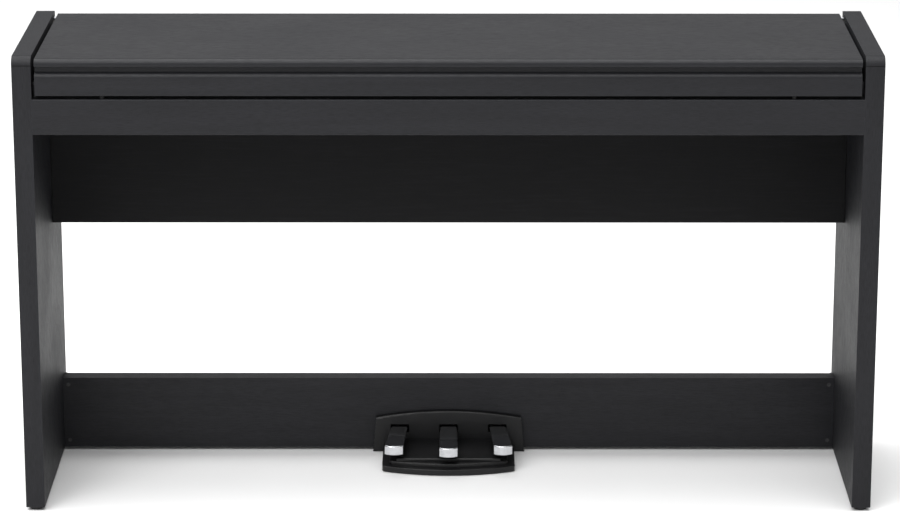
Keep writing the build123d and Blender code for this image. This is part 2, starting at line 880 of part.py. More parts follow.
def key_chassis():
    """The frame under the keys: a floor sheet, a front rail for the felt and lugs for the pivot rod."""
    sheet = chassis_wall
    felt_front, felt_back = felt_span()
    half = keyboard_width / 2
    frame = block(-half, half, felt_front, key_tail_back_y + sheet, keybed_top, keybed_top + sheet)
    rail_top = key_felt_top() - felt_thickness
    frame += block(-half, half, felt_front, felt_back, keybed_top, rail_top)
    frame -= block(
        -half, half, felt_front + sheet, felt_back - sheet, keybed_top, rail_top - sheet
    )
    reach = key_rod_radius + lug_wall
    for x in lug_xs():
        x0 = max(x - lug_half_width, -half)
        x1 = min(x + lug_half_width, half)
        frame += block(x0, x1, key_pivot_y - reach, key_pivot_y + reach, keybed_top, key_pivot_z + reach)
    across = (key_pivot_y, key_pivot_z)
    return frame - rod_along("x", -half, half, across, key_rod_radius + running_clearance)


def key_pivot_rod():
    half = keyboard_width / 2
    return rod_along("x", -half, half, (key_pivot_y, key_pivot_z), key_rod_radius)


def key_stop_felt():
    """The felt strip that the white keys land on."""
    front, back = felt_span()
    half = keyboard_width / 2
    top = key_felt_top()
    return block(-half, half, front, back, top - felt_thickness, top)


# ---------------------------------------------------------------- lid

def lid_board():
    """The flat top with a rounded nose, bored at both ends for the pivot bushes."""
    board = block(-lid_half, lid_half, front_y, lid_back_y, lid_underside, lid_top)
    board = fillet(front_edges(board)[-1], lid_nose_radius)
    board = fillet(front_edges(board)[0], lid_nose_under_radius)
    for side in (-1, 1):
        x0, x1 = sorted((side * (lid_half - lid_bush_length), side * lid_half))
        board -= rod_along("x", x0, x1, (lid_pivot_y, lid_pivot_z), lid_bush_radius)
    return board


def lid_front_rail():
    """The board under the lid's nose: a finger groove, a rounded shoulder and a flat face."""
    tongue_y = front_y + lid_groove_depth
    shoulder_top = lid_underside - lid_groove_height
    back = front_y + lid_rail_thickness
    rail = side_outline(
        [
            (front_y, lid_rail_bottom), (front_y, shoulder_top), (tongue_y, shoulder_top),
            (tongue_y, lid_underside), (back, lid_underside), (back, lid_rail_bottom),
        ],
        -lid_half, lid_half,
    )
    rail = fillet(front_edges(rail)[-1], lid_shoulder_radius)
    return fillet(front_edges(rail)[0], key_edge_radius)


def lid_pivot_pins():
    """The two steel pins, seated in the side panels, that the lid turns on."""
    pins = []
    for side in (-1, 1):
        inner_end = lid_half - lid_bush_length + lid_bush_wall
        x0, x1 = sorted((side * inner_end, side * (inner_half + lid_pin_seat)))
        pins.append(rod_along("x", x0, x1, (lid_pivot_y, lid_pivot_z), lid_pin_radius))
    return group(pins)


def lid_pivot_bushes():
    bushes = []
    across = (lid_pivot_y, lid_pivot_z)
    for side in (-1, 1):
        x0, x1 = sorted((side * (lid_half - lid_bush_length), side * lid_half))
        sleeve = rod_along("x", x0, x1, across, lid_bush_radius)
        bushes.append(sleeve - rod_along("x", x0, x1, across, lid_pin_radius + running_clearance))
    return group(bushes)


def lid_bumpers():
    """Two soft dots under the lid rail that meet the keyslip."""
    x = inner_half - bumper_inset
    y = front_y + lid_rail_thickness / 2
    bottom = keyslip_top + moving_gap
    return group(rod_along("z", bottom, lid_rail_bottom, (side * x, y), bumper_radius) for side in (-1, 1))


# ---------------------------------------------------------------- pedal unit

def bowed_plan(half, front, bow, back, corner_radius):
    """A plan with straight sides and a front that bows forwards in its middle."""
    edges = Line((-half, back), (-half, front + bow))
    edges += ThreePointArc((-half, front + bow), (0, front), (half, front + bow))
    edges += Line((half, front + bow), (half, back))
    edges += Line((half, back), (-half, back))
    face = make_face(edges)
    front_corners = face.vertices().sort_by(Axis.Y)[:2]
    return fillet(front_corners, corner_radius)


def pedal_base():
    """The floor tray: a bowed lip, two steps up towards the pedals, and ears for the axle."""
    tray = extrude(
        Pos(0, 0, pedal_pad_height) * bowed_plan(
            pedal_base_half, pedal_base_front_y, pedal_base_bow, pedal_base_back_y, pedal_base_corner_radius
        ),
        amount=pedal_base_thickness,
    )
    tray = fillet(tray.faces().sort_by(Axis.Z)[-1].edges().filter_by(GeomType.CIRCLE), pedal_step_radius / 2)
    step_one = extrude(
        Pos(0, 0, pedal_base_top) * bowed_plan(
            pedal_base_half - pedal_step_one_setback, pedal_base_front_y + pedal_step_one_setback,
            pedal_step_one_bow, pedal_plate_front_y, pedal_base_corner_radius,
        ),
        amount=pedal_step_one_rise,
    )
    front_arcs = step_one.faces().sort_by(Axis.Z)[-1].edges().filter_by(GeomType.CIRCLE)
    step_one = fillet(front_arcs, pedal_step_radius)
    half = pedal_base_half - pedal_step_two_side_setback
    step_two = block(
        -half, half, pedal_base_front_y + pedal_step_two_setback, pedal_plate_front_y,
        pedal_step_one_top, pedal_step_two_top,
    )
    step_two = fillet(front_edges(step_two)[-1], pedal_step_radius)
    base = tray + step_one + step_two
    for side in (-1, 1):
        ear_end = side * (pedal_base_half - pedal_cover_wall - board_gap)
        x0, x1 = sorted((ear_end, ear_end - side * pedal_ear_thickness))
        base += block(
            x0, x1, pedal_pivot_y - pedal_boss_radius, pedal_pivot_y + pedal_boss_radius,
            pedal_base_top, pedal_pivot_height + pedal_boss_radius,
        )
    across = (pedal_pivot_y, pedal_pivot_height)
    return base - rod_along("x", -pedal_base_half, pedal_base_half, across, pedal_axle_radius)


def pedal_slot_levels():
    """Bottom and top of the slots in the back plate, which clear the pedals' travel."""
    drop = (pedal_pivot_y - pedal_plate_front_y) * sin(pedal_angle)
    return pedal_bottom - drop - pedal_slot_clearance, pedal_top_height + pedal_slot_clearance


def pedal_back_plate():
    """The arched plate on the stretcher that the pedals come through, with a foot at each end."""
    top_half = pedal_base_half + pedal_plate_top_margin
    foot_half = pedal_base_half + pedal_plate_foot_margin
    edge_z = pedal_plate_edge_height
    crown_z = edge_z + pedal_plate_arch
    low_z = pedal_plate_floor_gap
    edges = Line((-foot_half, low_z), (-top_half, edge_z))
    edges += ThreePointArc((-top_half, edge_z), (0, crown_z), (top_half, edge_z))
    edges += Line((top_half, edge_z), (foot_half, low_z))
    edges += Line((foot_half, low_z), (-foot_half, low_z))
    outline = Plane.XZ.offset(-stretcher_front_y) * make_face(edges)
    plate = extrude(outline, amount=pedal_plate_thickness)
    front_top = plate.edges().filter_by(GeomType.CIRCLE).sort_by(Axis.Y)[0]
    plate = fillet(front_top, pedal_plate_thickness / 2)
    slot_bottom, slot_top = pedal_slot_levels()
    y_span = (pedal_plate_front_y, stretcher_front_y)
    for x in (-outer_pedal_back_x, 0, outer_pedal_back_x):
        half = pedal_back_width / 2 + pedal_slot_clearance
        plate -= block(x - half, x + half, *y_span, slot_bottom, slot_top)
    clear = board_gap / 2
    plate -= block(
        -pedal_base_half - clear, pedal_base_half + clear, *y_span, low_z, pedal_base_top + clear
    )
    return plate


def pedal(back_x, splay, reach):
    """A pedal lever: a widening tongue with a deep rounded nose, and a boss on the axle."""
    tip_y = stretcher_front_y - reach
    tip_x = back_x + splay
    back_half = pedal_back_width / 2
    tip_half = pedal_tip_width / 2
    plan = Line((back_x - back_half, pedal_plate_front_y), (tip_x - tip_half, tip_y + pedal_tip_bow))
    plan += ThreePointArc(
        (tip_x - tip_half, tip_y + pedal_tip_bow), (tip_x, tip_y), (tip_x + tip_half, tip_y + pedal_tip_bow)
    )
    plan += Line((tip_x + tip_half, tip_y + pedal_tip_bow), (back_x + back_half, pedal_plate_front_y))
    plan += Line((back_x + back_half, pedal_plate_front_y), (back_x - back_half, pedal_plate_front_y))
    face = make_face(plan)
    face = fillet(face.vertices().sort_by(Axis.Y)[:2], pedal_nose_radius)
    nose_bottom = pedal_top_height - pedal_nose_height
    tongue = extrude(Pos(0, 0, nose_bottom) * face, amount=pedal_nose_height)
    hollow_front = tip_y + pedal_nose_depth
    wide = pedal_tip_width + abs(splay)
    tongue -= block(
        back_x - wide, back_x + wide, hollow_front, pedal_plate_front_y + board_gap,
        nose_bottom, pedal_bottom,
    )
    top_rim = tongue.faces().sort_by(Axis.Z)[-1].edges()
    tongue = fillet(top_rim.sort_by(Axis.Y)[:-1], pedal_nose_radius / 2)
    span = (back_x - pedal_boss_half, back_x + pedal_boss_half)
    lever = tongue + block(*span, pedal_plate_front_y, pedal_pivot_y, pedal_bottom, pedal_top_height)
    across = (pedal_pivot_y, pedal_pivot_height)
    lever += rod_along("x", *span, across, pedal_boss_radius)
    return lever - rod_along("x", *span, across, pedal_axle_radius + running_clearance)


def pedal_axle():
    end = pedal_base_half - pedal_cover_wall - board_gap
    return rod_along("x", -end, end, (pedal_pivot_y, pedal_pivot_height), pedal_axle_radius)


def pedal_spring(x):
    """A coil spring between the tray and the underside of a pedal lever."""
    wire = pedal_spring_wire_radius
    low = pedal_base_top + wire
    rise = pedal_bottom - wire - low
    path = Helix(rise / pedal_spring_turns, rise, pedal_spring_radius)
    section = Plane(origin=path @ 0, z_dir=path % 0) * Circle(wire)
    return Pos(x, pedal_spring_y, low) * sweep(section, path=path, is_frenet=True)


def pedal_rear_cover():
    """The cover behind the stretcher, over the axle, open to the front and to the tray below."""
    wall = pedal_cover_wall
    outer = block(
        -pedal_base_half, pedal_base_half, stretcher_back_y, pedal_base_back_y,
        pedal_base_top, pedal_notch_top,
    )
    return outer - block(
        wall - pedal_base_half, pedal_base_half - wall,
        stretcher_back_y, pedal_base_back_y - wall,
        pedal_base_top, pedal_notch_top - wall,
    )


def pedal_base_pads():
    """Four rubber pads under the tray."""
    inset = pedal_base_corner_radius + pedal_pad_radius
    ys = (pedal_base_front_y + pedal_base_bow + inset, pedal_base_back_y - inset)
    return group(
        rod_along("z", 0, pedal_pad_height, (side * (pedal_base_half - inset), y), pedal_pad_radius)
        for side in (-1, 1) for y in ys
    )


# ---------------------------------------------------------------- write the nodes

def main():
    os.makedirs("parts", exist_ok=True)
    for name, side in (("left", -1), ("right", 1)):
        save(side_panel(side), f"side_panel_{name}")
        save(cheek_block(side), f"cheek_block_{name}")
    save(foot_glides(), "foot_glides")
    save(stretcher_board(), "stretcher_board")
    save(corner_brackets(), "corner_brackets")
    save(assembly_screws(), "assembly_screws")
    save(speaker_box(), "speaker_box")
    save(speaker_baffle(), "speaker_baffle")
    save(speaker_cloth(), "speaker_cloth")
    save(speaker_drivers(), "speaker_drivers")
    save(keybed(), "keybed")
    save(keyslip(), "keyslip")
    save(rear_panel(), "rear_panel")
    save(power_inlet(), "power_inlet")
    save(headphone_sockets(), "headphone_sockets")
    save(control_panel(), "control_panel")
    save(music_ledge(), "music_ledge")
    save(panel_circuit_board(), "panel_circuit_board")
    save(main_circuit_board(), "main_circuit_board")
    save(power_button(), "power_button")
    save(volume_knob(), "volume_knob")
    for number, x in enumerate(function_button_xs, start=1):
        save(function_button(x), f"function_button_{number}")
    save(key_chassis(), "key_chassis")
    save(key_pivot_rod(), "key_pivot_rod")
    save(key_stop_felt(), "key_stop_felt")
    for node, keys in make_keys().items():
        save(keys[0] if len(keys) == 1 else group(keys), node)
    save(lid_board(), "lid_board")
    save(lid_front_rail(), "lid_front_rail")
    save(lid_pivot_pins(), "lid_pivot_pins")
    save(lid_pivot_bushes(), "lid_pivot_bushes")
    save(lid_bumpers(), "lid_bumpers")
    save(pedal_base(), "pedal_base")
    save(pedal_back_plate(), "pedal_back_plate")
    save(pedal_rear_cover(), "pedal_rear_cover")
    save(pedal_axle(), "pedal_axle")
    save(pedal_base_pads(), "pedal_base_pads")
    pedals = (
        ("left", -outer_pedal_back_x, -outer_pedal_splay, outer_pedal_reach),
        ("middle", 0.0, 0.0, middle_pedal_reach),
        ("right", outer_pedal_back_x, outer_pedal_splay, outer_pedal_reach),
    )
    for name, back_x, splay, reach in pedals:
        save(pedal(back_x, splay, reach), f"pedal_{name}")
        save(pedal_spring(back_x), f"pedal_spring_{name}")


main()
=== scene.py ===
import json
import math

import bmesh
import bpy
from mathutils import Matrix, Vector


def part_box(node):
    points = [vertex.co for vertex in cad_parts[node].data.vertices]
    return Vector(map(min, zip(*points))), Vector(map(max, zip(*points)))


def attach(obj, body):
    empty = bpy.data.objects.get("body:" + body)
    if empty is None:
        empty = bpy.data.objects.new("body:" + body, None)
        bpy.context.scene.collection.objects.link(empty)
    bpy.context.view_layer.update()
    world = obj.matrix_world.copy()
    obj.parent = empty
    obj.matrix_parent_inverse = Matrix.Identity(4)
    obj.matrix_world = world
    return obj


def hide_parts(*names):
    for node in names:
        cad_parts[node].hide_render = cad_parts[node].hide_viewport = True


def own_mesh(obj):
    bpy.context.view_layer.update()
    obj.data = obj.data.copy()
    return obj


# The looks of a slim black digital piano on its stand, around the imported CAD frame. Metres.

MM = 0.001

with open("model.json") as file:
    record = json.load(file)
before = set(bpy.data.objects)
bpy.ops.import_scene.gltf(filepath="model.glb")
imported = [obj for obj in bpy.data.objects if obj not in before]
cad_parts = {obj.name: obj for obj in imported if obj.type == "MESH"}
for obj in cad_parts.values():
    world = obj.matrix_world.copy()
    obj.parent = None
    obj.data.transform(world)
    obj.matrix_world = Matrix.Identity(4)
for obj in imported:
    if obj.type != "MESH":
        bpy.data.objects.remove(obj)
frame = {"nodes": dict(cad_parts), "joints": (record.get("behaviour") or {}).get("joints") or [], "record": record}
nodes = frame["nodes"]
mounts = {mount["name"]: mount for mount in frame["record"]["mounts"]}
joints = {joint["name"]: joint for joint in frame["joints"]}
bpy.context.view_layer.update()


# ---------------------------------------------------------------- shader helpers

def new_material(name):
    """A material with a Principled shader: (material, node tree, shader)."""
    material = bpy.data.materials.new(name)
    material.use_nodes = True
    return material, material.node_tree, material.node_tree.nodes["Principled BSDF"]


def add(tree, kind, inputs=None, **settings):
    """A new shader node, its settings, and its inputs as values or as sockets to link from."""
    node = tree.nodes.new("ShaderNode" + kind)
    for key, value in settings.items():
        setattr(node, key, value)
    for key, value in (inputs or {}).items():
        if isinstance(value, bpy.types.NodeSocket):
            tree.links.new(value, node.inputs[key])
        else:
            node.inputs[key].default_value = value
    return node


def object_space(tree, scale=(1, 1, 1)):
    """The object's coordinates, which are the frame's at rest, stretched by a factor along each axis."""
    place = add(tree, "TexCoord").outputs["Object"]
    return add(tree, "Mapping", {"Vector": place, "Scale": scale}).outputs["Vector"]


def noise(tree, vector, size, detail=3.0, roughness=0.55):
    """Noise whose features are about this size, in metres."""
    inputs = {"Vector": vector, "Scale": 1 / size, "Detail": detail, "Roughness": roughness}
    return add(tree, "TexNoise", inputs).outputs["Fac"]


def remap(tree, value, low, high, to_low, to_high):
    """A value stretched from one range to another, and held inside it."""
    inputs = {"Value": value, "From Min": low, "From Max": high, "To Min": to_low, "To Max": to_high}
    return add(tree, "MapRange", inputs).outputs["Result"]


def mixed(tree, factor, first, second):
    """Two colours, mixed by a factor."""
    node = add(tree, "Mix", {0: factor}, data_type="RGBA")
    for key, value in ((6, first), (7, second)):
        if isinstance(value, bpy.types.NodeSocket):
            tree.links.new(value, node.inputs[key])
        else:
            node.inputs[key].default_value = (*value, 1)
    return node.outputs[2]


def maths(tree, operation, first, second):
    """One arithmetic step on values or sockets."""
    return add(tree, "Math", {0: first, 1: second}, operation=operation).outputs[0]


def shade(colour, factor):
    """A colour made lighter or darker."""
    return tuple(min(1.0, part * factor) for part in colour)


# How alike the true and the rounded normal are where an edge starts and where its wear, or on keys its painted
# shade, is full.
EDGE_START = 0.99
EDGE_FULL = 0.86


def edge_mask(tree, radius):
    """1 on edges and 0 on flat faces: edges that a hand or a broom rubs, and on keys the edges that get painted
    shade of the gaps between them.
    """
    flat = add(tree, "NewGeometry").outputs["Normal"]
    rounded = add(tree, "Bevel", {"Radius": radius}, samples=4).outputs["Normal"]
    alike = add(tree, "VectorMath", {0: flat, 1: rounded}, operation="DOT_PRODUCT").outputs["Value"]
    return remap(tree, alike, EDGE_START, EDGE_FULL, 0.0, 1.0)


def bumped(tree, shader, height, depth, strength):
    """Sets the shader's normal from a height between 0 and 1 that stands for a depth in metres."""
    bump = add(tree, "Bump", {"Strength": strength, "Distance": depth, "Height": height})
    tree.links.new(bump.outputs["Normal"], shader.inputs["Normal"])


def paint(tree, shader, colour, roughness):
    """Links a colour and a roughness that vary over the surface."""
    tree.links.new(colour, shader.inputs["Base Color"])
    tree.links.new(roughness, shader.inputs["Roughness"])


# ---------------------------------------------------------------- materials
#
# Noise lies mostly between 0.3 and 0.7, and the recipes stretch parts of that range to a share from
# 0 to 1. A factor given to shade() is times the finish's own colour.

GRAIN_STRETCH = 16
PORE_SIZE = 0.9 * MM
STREAK_SIZE = 14 * MM
CLOUD_SIZE = 180 * MM
SCUFF_SIZE = 9 * MM
EMBOSSED_DEPTH = 0.07 * MM
BOARD_EDGE_RADIUS = 1.2 * MM


def laminate(name, grain_axis, colour, rough):
    """Charcoal vinyl with an embossed wood grain that runs along one axis."""
    material, tree, shader = new_material(name)
    stretch = [1.0, 1.0, 1.0]
    stretch[grain_axis] = 1 / GRAIN_STRETCH
    along = object_space(tree, stretch)
    pores = noise(tree, along, PORE_SIZE, detail=4.0, roughness=0.6)
    streaks = noise(tree, along, STREAK_SIZE, detail=5.0, roughness=0.65)
    clouds = noise(tree, object_space(tree), CLOUD_SIZE, detail=2.0)
    pits = remap(tree, pores, 0.40, 0.56, 0.0, 1.0)
    figure = remap(tree, streaks, 0.35, 0.65, 0.0, 1.0)
    base = mixed(tree, figure, shade(colour, 0.84), shade(colour, 1.14))
    base = mixed(tree, remap(tree, clouds, 0.35, 0.65, 0.0, 0.35), base, shade(colour, 1.25))
    base = mixed(tree, remap(tree, pits, 0.0, 1.0, 0.45, 0.0), base, shade(colour, 0.45))
    worn = edge_mask(tree, BOARD_EDGE_RADIUS)
    scuffs = noise(tree, object_space(tree), SCUFF_SIZE, detail=4.0, roughness=0.7)
    worn = maths(tree, "MULTIPLY", worn, remap(tree, scuffs, 0.45, 0.65, 0.05, 0.50))
    base = mixed(tree, worn, base, shade(colour, 2.2))
    gloss = maths(tree, "ADD", remap(tree, pits, 0.0, 1.0, rough + 0.14, rough),
                  remap(tree, clouds, 0.3, 0.7, -0.04, 0.05))
    paint(tree, shader, base, gloss)
    shader.inputs["Specular IOR Level"].default_value = 0.20
    height = maths(tree, "ADD", maths(tree, "MULTIPLY", pits, 0.8), maths(tree, "MULTIPLY", streaks, 0.2))
    bumped(tree, shader, height, EMBOSSED_DEPTH, strength=0.8)
    return material


MOULDED_EDGE_RADIUS = 0.6 * MM
MOULDED_CLOUD_SIZE = 60 * MM


def moulded(name, colour, rough, grain, depth, specular=0.5, wear=0.35):
    """Moulded, painted or pressed stuff with a fine even grain."""
    material, tree, shader = new_material(name)
    space = object_space(tree)
    fine = noise(tree, space, grain, detail=3.0, roughness=0.6)
    cells = add(tree, "TexVoronoi", {"Vector": space, "Scale": 1 / grain}).outputs["Distance"]
    clouds = noise(tree, space, MOULDED_CLOUD_SIZE)
    tone = remap(tree, clouds, 0.3, 0.7, 0.0, 1.0)
    base = mixed(tree, tone, shade(colour, 0.86), shade(colour, 1.14))
    rubbed = maths(tree, "MULTIPLY", edge_mask(tree, MOULDED_EDGE_RADIUS), wear)
    base = mixed(tree, rubbed, base, shade(colour, 1.9))
    paint(tree, shader, base, remap(tree, clouds, 0.3, 0.7, rough - 0.05, rough + 0.07))
    shader.inputs["Specular IOR Level"].default_value = specular
    height = maths(tree, "ADD", maths(tree, "MULTIPLY", fine, 0.6), maths(tree, "MULTIPLY", cells, 0.4))
    bumped(tree, shader, height, depth, strength=0.7)
    return material


WEAVE_DEPTH = 0.25 * MM
WEAVE_FIBRE_SIZE = 0.3 * MM
SLUB_SIZE = 2.4 * MM
SLUB_STRETCH = 20
# Blender's wave texture turns through this many radians in one unit of length.
WAVE_TEXTURE_RATE = 20


def woven(name, colour, thread):
    """A plain weave: crossing threads that pass over and under each other."""
    material, tree, shader = new_material(name)
    space = object_space(tree)
    waves = {"Vector": space, "Scale": math.pi / (WAVE_TEXTURE_RATE * thread)}
    warp = add(tree, "TexWave", waves, bands_direction="X").outputs["Fac"]
    weft = add(tree, "TexWave", waves, bands_direction="Z").outputs["Fac"]
    over = add(tree, "TexChecker", {"Vector": space, "Scale": 1 / thread}).outputs["Fac"]
    height = add(tree, "Mix", {0: over, 2: warp, 3: weft}).outputs[0]
    fibres = noise(tree, space, WEAVE_FIBRE_SIZE, detail=3.0, roughness=0.7)
    slubs = noise(tree, object_space(tree, (1 / SLUB_STRETCH, 1, 1)), SLUB_SIZE)
    # Painted shade and highlight: the threads are darker where they dip under and lighter where they rise, as
    # light would fall on the weave.
    base = mixed(tree, height, shade(colour, 0.35), shade(colour, 1.35))
    base = mixed(tree, remap(tree, slubs, 0.5, 0.7, 0.0, 0.5), base, shade(colour, 1.7))
    paint(tree, shader, base, remap(tree, fibres, 0.3, 0.7, 0.78, 0.95))
    shader.inputs["Specular IOR Level"].default_value = 0.2
    shader.inputs["Sheen Weight"].default_value = 0.08
    shader.inputs["Sheen Roughness"].default_value = 0.5
    raised = maths(tree, "ADD", height, maths(tree, "MULTIPLY", fibres, 0.3))
    bumped(tree, shader, raised, WEAVE_DEPTH, strength=0.8)
    return material


SCRATCH_STRETCH = 30
SCRATCH_WIDTH = 0.5 * MM
MARK_SIZE = 12 * MM


def metal(name, colour, rough, brushed_axis, scratch, smudge=0.08):
    """Bare or plated metal with faint scratches along one axis and handling marks."""
    material, tree, shader = new_material(name)
    shader.inputs["Metallic"].default_value = 1.0
    stretch = [1.0, 1.0, 1.0]
    stretch[brushed_axis] = 1 / SCRATCH_STRETCH
    lines = noise(tree, object_space(tree, stretch), SCRATCH_WIDTH, detail=5.0, roughness=0.7)
    marks = noise(tree, object_space(tree), MARK_SIZE, detail=4.0, roughness=0.6)
    tone = remap(tree, marks, 0.35, 0.7, 0.0, 1.0)
    base = mixed(tree, tone, shade(colour, 1.06), shade(colour, 0.86))
    hazy = remap(tree, marks, 0.45, 0.7, rough, rough + smudge)
    paint(tree, shader, base, maths(tree, "ADD", hazy, remap(tree, lines, 0.4, 0.7, -0.02, 0.05)))
    bumped(tree, shader, lines, scratch, strength=0.35)
    return material


KEY_GRAIN_STRETCH = 22
KEY_CLOUD_SIZE = 35 * MM
KEY_EDGE_RADIUS = 1.4 * MM


def key_surface(name, colour, rough, coat, grain, depth):
    """A key's surface: polished or satin, with a faint grain along its length and edges darkened as painted shade
    of the gaps between keys.
    """
    material, tree, shader = new_material(name)
    along = object_space(tree, (1, 1 / KEY_GRAIN_STRETCH, 1))
    fibre = noise(tree, along, grain, detail=4.0, roughness=0.6)
    clouds = noise(tree, object_space(tree), KEY_CLOUD_SIZE)
    tone = remap(tree, clouds, 0.3, 0.7, 0.0, 1.0)
    base = mixed(tree, tone, shade(colour, 0.97), shade(colour, 1.03))
    base = mixed(tree, remap(tree, fibre, 0.45, 0.7, 0.0, 0.25), base, shade(colour, 0.82))
    # Painted shade: each key's edges are darkened to stand for the shadow in the gaps between the keys.
    gap_shade = maths(tree, "MULTIPLY", edge_mask(tree, KEY_EDGE_RADIUS), 0.7)
    base = mixed(tree, gap_shade, base, shade(colour, 0.5))
    paint(tree, shader, base, remap(tree, clouds, 0.3, 0.7, rough, rough + 0.08))
    shader.inputs["Coat Weight"].default_value = coat
    shader.inputs["Coat Roughness"].default_value = 0.08
    bumped(tree, shader, fibre, depth, strength=0.5)
    return material


FIBRE_SIZE = 0.5 * MM
TUFT_SIZE = 5 * MM
FELT_DEPTH = 0.4 * MM


def felted(name, colour):
    """Dense felt: a fuzzy matt surface with short matted fibres."""
    material, tree, shader = new_material(name)
    fuzz = noise(tree, object_space(tree), FIBRE_SIZE, detail=6.0, roughness=0.75)
    tufts = noise(tree, object_space(tree), TUFT_SIZE)
    base = mixed(tree, remap(tree, fuzz, 0.35, 0.65, 0.0, 1.0), shade(colour, 0.6), shade(colour, 1.5))
    base = mixed(tree, remap(tree, tufts, 0.4, 0.7, 0.0, 0.4), base, shade(colour, 0.7))
    paint(tree, shader, base, remap(tree, fuzz, 0.3, 0.7, 0.85, 1.0))
    shader.inputs["Sheen Weight"].default_value = 0.5
    bumped(tree, shader, fuzz, FELT_DEPTH, strength=0.9)
    return material


TRACK_PITCH = 5 * MM
PAD_PITCH = 7 * MM
TRACK_DEPTH = 0.05 * MM
TINNED = (0.62, 0.62, 0.60)


def circuit(name, colour):
    """Green solder mask over copper tracks, with tinned pads."""
    material, tree, shader = new_material(name)
    space = object_space(tree)
    cells = {"Vector": space, "Scale": 1 / TRACK_PITCH}
    tracks = add(tree, "TexVoronoi", cells, distance="MANHATTAN").outputs["Distance"]
    line = remap(tree, maths(tree, "PINGPONG", tracks, 0.12), 0.03, 0.05, 0.0, 1.0)
    dots = add(tree, "TexVoronoi", {"Vector": space, "Scale": 1 / PAD_PITCH}).outputs["Distance"]
    pad = remap(tree, dots, 0.16, 0.13, 0.0, 1.0)
    base = mixed(tree, line, shade(colour, 1.7), colour)
    base = mixed(tree, pad, base, TINNED)
    paint(tree, shader, base, remap(tree, pad, 0.0, 1.0, 0.38, 0.25))
    tree.links.new(maths(tree, "MULTIPLY", pad, 0.9), shader.inputs["Metallic"])
    bumped(tree, shader, maths(tree, "ADD", line, pad), TRACK_DEPTH, strength=0.6)
    return material


SEAM_WIDTH = 0.9 * MM
SEAM_REACH = 5 * MM
SEAM_SHADE = 0.25


def near(tree, value, place, width):
    """1 within half a width of a place along one coordinate, 0 beyond the width."""
    away = maths(tree, "ABSOLUTE", maths(tree, "SUBTRACT", value, place), 0.0)
    return remap(tree, away, width / 2, width, 1.0, 0.0)


def add_seams(material, colour, seams):
    """Dark hairlines on boards where their foil is joined. Each is (axis, place, face's axis, face)."""
    tree = material.node_tree
    shader = tree.nodes["Principled BSDF"]
    place = add(tree, "SeparateXYZ", {"Vector": object_space(tree)}).outputs
    for axis, at, face_axis, face in seams:
        line = near(tree, place[axis], at, SEAM_WIDTH)
        seam = maths(tree, "MULTIPLY", line, near(tree, place[face_axis], face, SEAM_REACH))
        before = shader.inputs["Base Color"].links[0].from_socket
        gloss = shader.inputs["Roughness"].links[0].from_socket
        after = mixed(tree, seam, before, shade(colour, SEAM_SHADE))
        paint(tree, shader, after, maths(tree, "MAXIMUM", gloss, seam))


ALONG_X = 0
ALONG_Y = 1
ALONG_Z = 2
LAMINATE = (0.0118, 0.0120, 0.0140)

case_laminate = laminate("case_laminate", ALONG_X, LAMINATE, rough=0.37)
panel_laminate = laminate("panel_laminate", ALONG_Z, LAMINATE, rough=0.50)
SLOT_MATERIALS = {
    "black_laminate": case_laminate,
    "black_board": moulded(
        "board_paint", (0.0065, 0.0065, 0.007), rough=0.60, grain=1.1 * MM, depth=0.05 * MM,
        specular=0.2, wear=0.4),
    "speaker_cloth": woven("acoustic_cloth", (0.0062, 0.0062, 0.0068), thread=0.7 * MM),
    "speaker_metal": moulded(
        "basket_paint", (0.02, 0.02, 0.02), rough=0.45, grain=0.6 * MM, depth=0.03 * MM),
    "black_plastic": moulded(
        "black_moulding", (0.0045, 0.0045, 0.005), rough=0.36, grain=0.5 * MM, depth=0.03 * MM,
        specular=0.34),
    "button_plastic": moulded(
        "soft_touch", (0.085, 0.087, 0.092), rough=0.55, grain=0.35 * MM, depth=0.02 * MM,
        specular=0.4),
    "chassis_plastic": moulded(
        "grey_moulding", (0.22, 0.22, 0.23), rough=0.5, grain=0.8 * MM, depth=0.04 * MM),
    "white_key_plastic": key_surface(
        "ivory_key", (0.50, 0.485, 0.44), rough=0.22, coat=0.20, grain=0.9 * MM, depth=0.012 * MM),
    "black_key_plastic": key_surface(
        "ebony_key", (0.014, 0.014, 0.015), rough=0.34, coat=0.0, grain=0.6 * MM, depth=0.03 * MM),
    "felt": felted("red_felt", (0.24, 0.012, 0.02)),
    "circuit_board": circuit("solder_mask", (0.012, 0.11, 0.04)),
    "steel": metal(
        "zinc_steel", (0.38, 0.385, 0.40), rough=0.36, brushed_axis=ALONG_Z, scratch=0.03 * MM),
    "black_steel": moulded(
        "black_oxide", (0.012, 0.012, 0.013), rough=0.34, grain=0.3 * MM, depth=0.02 * MM,
        specular=0.55, wear=0.6),
    "brass": metal(
        "turned_brass", (0.68, 0.50, 0.22), rough=0.24, brushed_axis=ALONG_X, scratch=0.03 * MM),
    "rubber": moulded(
        "soft_rubber", (0.016, 0.016, 0.016), rough=0.75, grain=0.9 * MM, depth=0.06 * MM,
        specular=0.3),
    "pedal_chrome": metal(
        "bright_chrome", (0.64, 0.65, 0.67), rough=0.09, brushed_axis=ALONG_Y, scratch=0.008 * MM,
        smudge=0.10),
}
printed = moulded(
    "grey_print", (0.42, 0.42, 0.43), rough=0.5, grain=0.3 * MM, depth=0.01 * MM, specular=0.4, wear=0.1)
lamp_lens = moulded(
    "lamp_lens", (0.30, 0.02, 0.015), rough=0.18, grain=0.5 * MM, depth=0.01 * MM, specular=0.6, wear=0.1)

PANEL_CORNER_RADIUS = 14 * MM
LID_NOSE_RADIUS = 8 * MM


